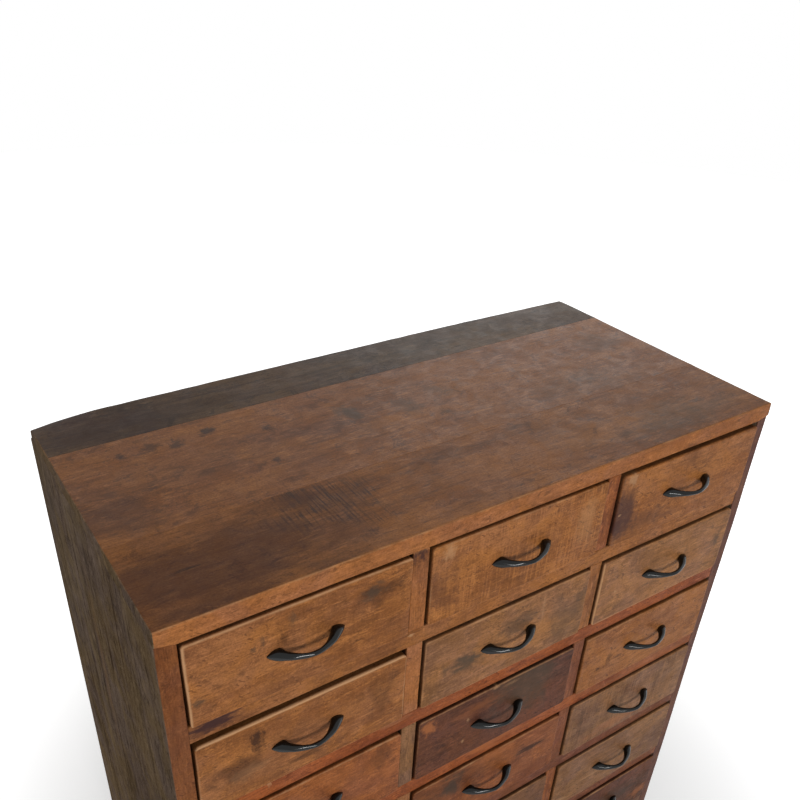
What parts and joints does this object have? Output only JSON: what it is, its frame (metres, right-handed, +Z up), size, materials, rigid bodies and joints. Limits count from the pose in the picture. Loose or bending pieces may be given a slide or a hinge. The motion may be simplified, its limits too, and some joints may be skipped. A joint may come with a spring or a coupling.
{
  "type": "chest of drawers",
  "caption": "Floor-standing chest of small drawers in old mixed timber, with a plank top, a flush face frame and a black cast bow handle on each drawer.",
  "frame": {"origin": "on the floor, below the middle of the overall box of the chest with its handles", "axes": "+Z up, -Y towards the drawer fronts, +X to the right when facing the fronts"},
  "size_m": [0.902, 0.468, 0.94],
  "materials": {
    "top_wood": "waxed old boards, brown with knots and saw marks",
    "side_wood": "weathered grey-brown boards with dark streaks",
    "frame_wood": "reddish brown waxed bars, worn along the edges",
    "front_wood": "old boards of mixed colour, waxed, pale worn edges",
    "box_wood": "plain sawn softwood",
    "plain_wood": "plain sawn softwood",
    "back_sheet": "plain plywood sheet",
    "black_iron": "black lacquered casting, half gloss"
  },
  "bodies": {
    "case": {"top_boards": "top_wood", "left_side": "side_wood", "right_side": "side_wood", "back_panel": "back_sheet", "face_frame": "frame_wood", "inner_frame": "plain_wood"},
    "drawer_r1c1": {"drawer_front_r1c1": "front_wood", "drawer_box_r1c1": "box_wood", "handle_r1c1": "black_iron"},
    "drawer_r1c2": {"drawer_front_r1c2": "front_wood", "drawer_box_r1c2": "box_wood", "handle_r1c2": "black_iron"},
    "drawer_r1c3": {"drawer_front_r1c3": "front_wood", "drawer_box_r1c3": "box_wood", "handle_r1c3": "black_iron"},
    "drawer_r2c1": {"drawer_front_r2c1": "front_wood", "drawer_box_r2c1": "box_wood", "handle_r2c1": "black_iron"},
    "drawer_r2c2": {"drawer_front_r2c2": "front_wood", "drawer_box_r2c2": "box_wood", "handle_r2c2": "black_iron"},
    "drawer_r2c3": {"drawer_front_r2c3": "front_wood", "drawer_box_r2c3": "box_wood", "handle_r2c3": "black_iron"},
    "drawer_r3c1": {"drawer_front_r3c1": "front_wood", "drawer_box_r3c1": "box_wood", "handle_r3c1": "black_iron"},
    "drawer_r3c2": {"drawer_front_r3c2": "front_wood", "drawer_box_r3c2": "box_wood", "handle_r3c2": "black_iron"},
    "drawer_r3c3": {"drawer_front_r3c3": "front_wood", "drawer_box_r3c3": "box_wood", "handle_r3c3": "black_iron"},
    "drawer_r4c1": {"drawer_front_r4c1": "front_wood", "drawer_box_r4c1": "box_wood", "handle_r4c1": "black_iron"},
    "drawer_r4c2": {"drawer_front_r4c2": "front_wood", "drawer_box_r4c2": "box_wood", "handle_r4c2": "black_iron"},
    "drawer_r4c3": {"drawer_front_r4c3": "front_wood", "drawer_box_r4c3": "box_wood", "handle_r4c3": "black_iron"},
    "drawer_r5c1": {"drawer_front_r5c1": "front_wood", "drawer_box_r5c1": "box_wood", "handle_r5c1": "black_iron"},
    "drawer_r5c2": {"drawer_front_r5c2": "front_wood", "drawer_box_r5c2": "box_wood", "handle_r5c2": "black_iron"},
    "drawer_r5c3": {"drawer_front_r5c3": "front_wood", "drawer_box_r5c3": "box_wood", "handle_r5c3": "black_iron"},
    "drawer_r6c1": {"drawer_front_r6c1": "front_wood", "drawer_box_r6c1": "box_wood", "handle_r6c1": "black_iron"},
    "drawer_r6c2": {"drawer_front_r6c2": "front_wood", "drawer_box_r6c2": "box_wood", "handle_r6c2": "black_iron"},
    "drawer_r6c3": {"drawer_front_r6c3": "front_wood", "drawer_box_r6c3": "box_wood", "handle_r6c3": "black_iron"}
  },
  "joints": [
    {"name": "slide_r1c1", "type": "slide", "parent": "case", "child": "drawer_r1c1", "axis": [0, -1, 0], "range_m": [0, 0.3]},
    {"name": "slide_r1c2", "type": "slide", "parent": "case", "child": "drawer_r1c2", "axis": [0, -1, 0], "range_m": [0, 0.3]},
    {"name": "slide_r1c3", "type": "slide", "parent": "case", "child": "drawer_r1c3", "axis": [0, -1, 0], "range_m": [0, 0.3]},
    {"name": "slide_r2c1", "type": "slide", "parent": "case", "child": "drawer_r2c1", "axis": [0, -1, 0], "range_m": [0, 0.3]},
    {"name": "slide_r2c2", "type": "slide", "parent": "case", "child": "drawer_r2c2", "axis": [0, -1, 0], "range_m": [0, 0.3]},
    {"name": "slide_r2c3", "type": "slide", "parent": "case", "child": "drawer_r2c3", "axis": [0, -1, 0], "range_m": [0, 0.3]},
    {"name": "slide_r3c1", "type": "slide", "parent": "case", "child": "drawer_r3c1", "axis": [0, -1, 0], "range_m": [0, 0.3]},
    {"name": "slide_r3c2", "type": "slide", "parent": "case", "child": "drawer_r3c2", "axis": [0, -1, 0], "range_m": [0, 0.3]},
    {"name": "slide_r3c3", "type": "slide", "parent": "case", "child": "drawer_r3c3", "axis": [0, -1, 0], "range_m": [0, 0.3]},
    {"name": "slide_r4c1", "type": "slide", "parent": "case", "child": "drawer_r4c1", "axis": [0, -1, 0], "range_m": [0, 0.3]},
    {"name": "slide_r4c2", "type": "slide", "parent": "case", "child": "drawer_r4c2", "axis": [0, -1, 0], "range_m": [0, 0.3]},
    {"name": "slide_r4c3", "type": "slide", "parent": "case", "child": "drawer_r4c3", "axis": [0, -1, 0], "range_m": [0, 0.3]},
    {"name": "slide_r5c1", "type": "slide", "parent": "case", "child": "drawer_r5c1", "axis": [0, -1, 0], "range_m": [0, 0.3]},
    {"name": "slide_r5c2", "type": "slide", "parent": "case", "child": "drawer_r5c2", "axis": [0, -1, 0], "range_m": [0, 0.3]},
    {"name": "slide_r5c3", "type": "slide", "parent": "case", "child": "drawer_r5c3", "axis": [0, -1, 0], "range_m": [0, 0.3]},
    {"name": "slide_r6c1", "type": "slide", "parent": "case", "child": "drawer_r6c1", "axis": [0, -1, 0], "range_m": [0, 0.3]},
    {"name": "slide_r6c2", "type": "slide", "parent": "case", "child": "drawer_r6c2", "axis": [0, -1, 0], "range_m": [0, 0.3]},
    {"name": "slide_r6c3", "type": "slide", "parent": "case", "child": "drawer_r6c3", "axis": [0, -1, 0], "range_m": [0, 0.3]}
  ]
}
